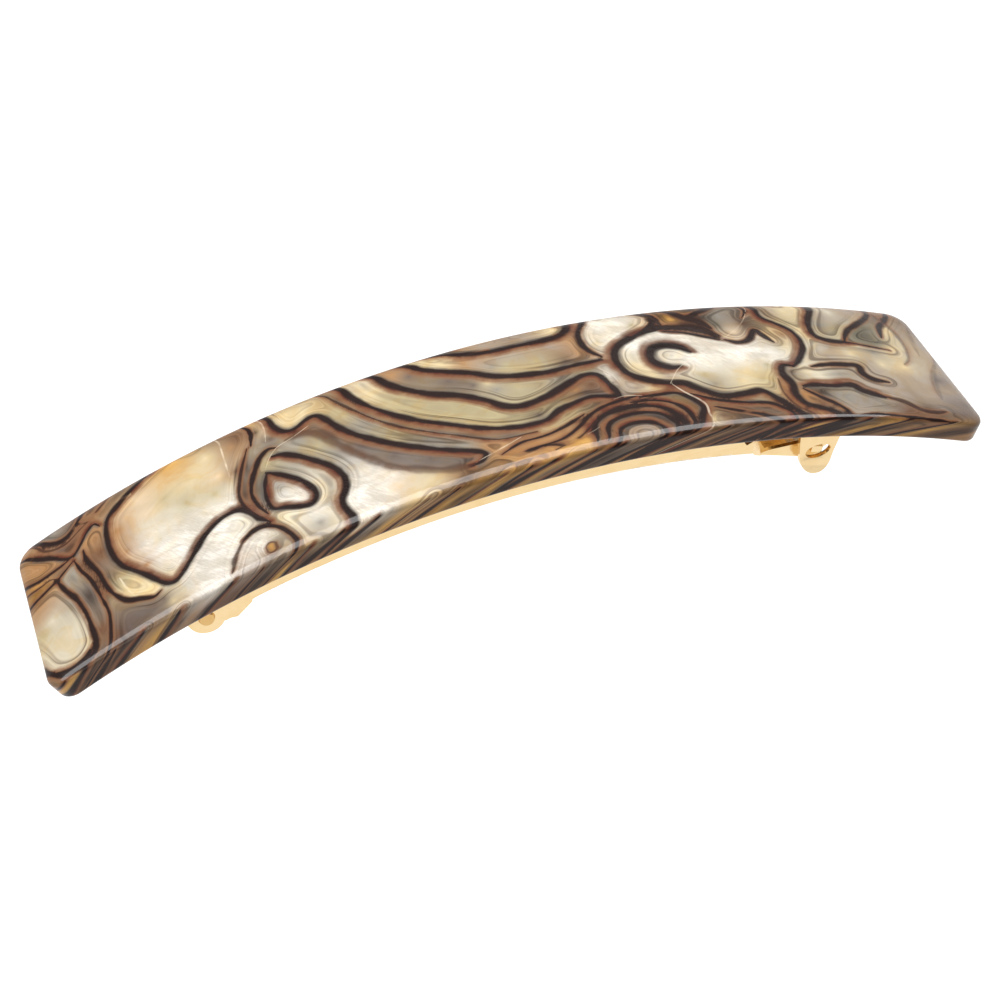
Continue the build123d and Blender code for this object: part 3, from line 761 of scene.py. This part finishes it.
def plated(name, rgb, roughness, along):
    """Polished plating over rolled sheet: a grain along the sheet, uneven lustre and warm stains."""
    g = Graph(name)
    streak = g.noise(g.place(along), 1.0, 4, 0.65)
    cloud = g.noise(g.place(), 0.35, 3, 0.6)
    speck = g.noise(g.place(), 3.2, 4, 0.6)
    bright = linear(rgb)
    warm = linear((rgb[0] - 8, rgb[1] - 16, rgb[2] - 26))
    base = g.mix(g.ramp(cloud, 0.35, 0.72, 0.0, 0.5), bright, warm)
    base = g.mix(g.ramp(streak, 0.42, 0.78, 0.0, 0.28), base, warm)
    g.plug(g.shader.inputs["Base Color"], base)
    g.shader.inputs["Metallic"].default_value = 1.0
    rough = g.math("ADD", g.ramp(streak, 0.3, 0.75, roughness * 0.7, roughness * 1.5),
                   g.ramp(speck, 0.55, 0.8, 0.0, 0.07))
    g.plug(g.shader.inputs["Roughness"], rough)
    height = g.math("ADD", streak, g.math("MULTIPLY", speck, 0.4))
    g.plug(g.shader.inputs["Normal"], g.bump(height, 0.10, 0.12 * MM))
    return g.material


def dress(node, material, edge):
    """A CAD node gets its material and soft edges, with nothing moved."""
    thing = nodes[node]
    if not thing.material_slots:
        thing.data.materials.append(material)
    for held in thing.material_slots:
        held.material = material
    weld = thing.modifiers.new("weld", "WELD")
    weld.merge_threshold = 0.002 * MM
    bevel = thing.modifiers.new("edges", "BEVEL")
    bevel.limit_method = "ANGLE"
    bevel.angle_limit = math.radians(38)
    bevel.width = edge * MM
    bevel.segments = 3
    bevel.harden_normals = True


# ---- Stage, light and camera ----

def floor():
    """A plain pale floor, low enough for the clasp arm to swing down over it."""
    mesh = bpy.data.meshes.new("floor")
    reach, clearance = 4.0, 8 * MM
    arm_low, arm_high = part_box("clasp_arm")
    level = -(arm_high.x - arm_low.x) - clearance
    mesh.from_pydata([(-reach, -reach, level), (reach, -reach, level), (reach, reach, level),
                      (-reach, reach, level)], [], [(0, 1, 2, 3)])
    thing = bpy.data.objects.new("floor", mesh)
    bpy.context.scene.collection.objects.link(thing)
    g = Graph("pale_floor")
    grain = g.noise(g.place(), 0.004, 3)
    g.plug(g.shader.inputs["Base Color"], g.mix(grain, (0.22, 0.22, 0.218, 1), (0.25, 0.25, 0.247, 1)))
    g.shader.inputs["Roughness"].default_value = 0.9
    g.shader.inputs["Emission Color"].default_value = (1, 1, 1, 1)
    g.shader.inputs["Emission Strength"].default_value = 0.86
    mesh.materials.append(g.material)


def softbox(name, direction, distance, width, height, watts):
    """A soft light that far from the crown in that direction, facing it."""
    light = bpy.data.lights.new(name, "AREA")
    light.shape = "RECTANGLE"
    light.size, light.size_y = width, height
    light.energy = watts
    lamp = bpy.data.objects.new(name, light)
    way = Vector(direction).normalized()
    lamp.location = Vector((0, 0, crown_height * MM)) + way * distance
    lamp.rotation_mode = "QUATERNION"
    lamp.rotation_quaternion = way.to_track_quat("Z", "Y")
    bpy.context.scene.collection.objects.link(lamp)


def world():
    """A pale room: white to the eye, dim in reflections above a bright low backdrop."""
    made = bpy.data.worlds.new("room")
    bpy.context.scene.world = made
    made.use_nodes = True
    tree = made.node_tree
    tree.nodes.clear()

    def node(kind, **values):
        n = tree.nodes.new(kind)
        for name, value in values.items():
            setattr(n, name, value)
        return n

    low_glow, high_glow = 0.9, 0.22  # mirrored, below and above the backdrop's upper edge
    backdrop_top, backdrop_fade = math.sin(math.radians(10.5)), 0.02
    out = node("ShaderNodeOutputWorld")
    strength = {"backdrop": 1.0, "mirrored": 1.0, "fill": 0.28}
    glows = {name: node("ShaderNodeBackground") for name in strength}
    for name, value in strength.items():
        glows[name].inputs["Color"].default_value = (1, 1, 1, 1)
        glows[name].inputs["Strength"].default_value = value
    rays = node("ShaderNodeLightPath")
    where = node("ShaderNodeTexCoord")
    parts = node("ShaderNodeSeparateXYZ")
    height = node("ShaderNodeMapRange", interpolation_type="SMOOTHSTEP")
    for name, value in (("From Min", backdrop_top), ("From Max", backdrop_top + backdrop_fade),
                        ("To Min", low_glow), ("To Max", high_glow)):
        height.inputs[name].default_value = value
    soft, seen = node("ShaderNodeMixShader"), node("ShaderNodeMixShader")
    tree.links.new(where.outputs["Generated"], parts.inputs[0])
    tree.links.new(parts.outputs["Z"], height.inputs["Value"])
    tree.links.new(height.outputs[0], glows["mirrored"].inputs["Color"])
    tree.links.new(rays.outputs["Is Diffuse Ray"], soft.inputs[0])
    tree.links.new(glows["mirrored"].outputs[0], soft.inputs[1])
    tree.links.new(glows["fill"].outputs[0], soft.inputs[2])
    tree.links.new(rays.outputs["Is Camera Ray"], seen.inputs[0])
    tree.links.new(soft.outputs[0], seen.inputs[1])
    tree.links.new(glows["backdrop"].outputs[0], seen.inputs[2])
    tree.links.new(seen.outputs[0], out.inputs["Surface"])


def camera():
    """At the reference view's angle, with its lens and shift."""
    azimuth, elevation, roll = (math.radians(a) for a in (-13.507, 38.0, -6.784))
    distance = 0.23888
    crown = Vector((0, 0, crown_height * MM))
    back = Vector((math.sin(azimuth) * math.cos(elevation), -math.cos(azimuth) * math.cos(elevation),
                   math.sin(elevation)))
    right = Vector((math.cos(azimuth), math.sin(azimuth), 0))
    up = back.cross(right)
    across = right * math.cos(roll) + up * math.sin(roll)
    upward = up * math.cos(roll) - right * math.sin(roll)
    lens = bpy.data.cameras.new("camera")
    lens.lens, lens.sensor_width = 88.19, 36.0
    lens.shift_x, lens.shift_y = 0.0066, -0.0968
    lens.clip_start, lens.clip_end = 0.005, 20.0
    eye = bpy.data.objects.new("camera", lens)
    turn = Matrix((across, upward, back)).transposed().to_4x4()
    eye.matrix_world = Matrix.Translation(crown + back * distance) @ turn
    bpy.context.scene.collection.objects.link(eye)
    bpy.context.scene.camera = eye


bpy.context.scene.view_settings.view_transform = "Standard"
bpy.context.scene.view_settings.look = "None"

plate = make_plate()
plate.data.materials.append(acetate())
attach(plate, "base_body")
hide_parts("plate")

clip_gold = plated("clip_gold", (228, 202, 156), 0.14, (0.25, 3.0, 3.0))
spring_gold = plated("spring_gold", (224, 190, 134), 0.2, (0.2, 4.0, 4.0))
pin_gold = plated("pin_gold", (204, 168, 112), 0.12, (2.0, 0.6, 2.0))
dress("clip_base", clip_gold, 0.06)
dress("clasp_arm", clip_gold, 0.14)
dress("tension_bar", spring_gold, 0.05)
dress("hinge_pin", pin_gold, 0.05)
dress("rivets", pin_gold, 0.08)

floor()
world()
camera()
softbox("overhead_box", (0.0, 0.47, 0.88), 1.0, 2.4, 0.30, 25.0)
softbox("front_box", (-0.55, -0.75, 0.75), 1.1, 0.7, 0.5, 3.0)
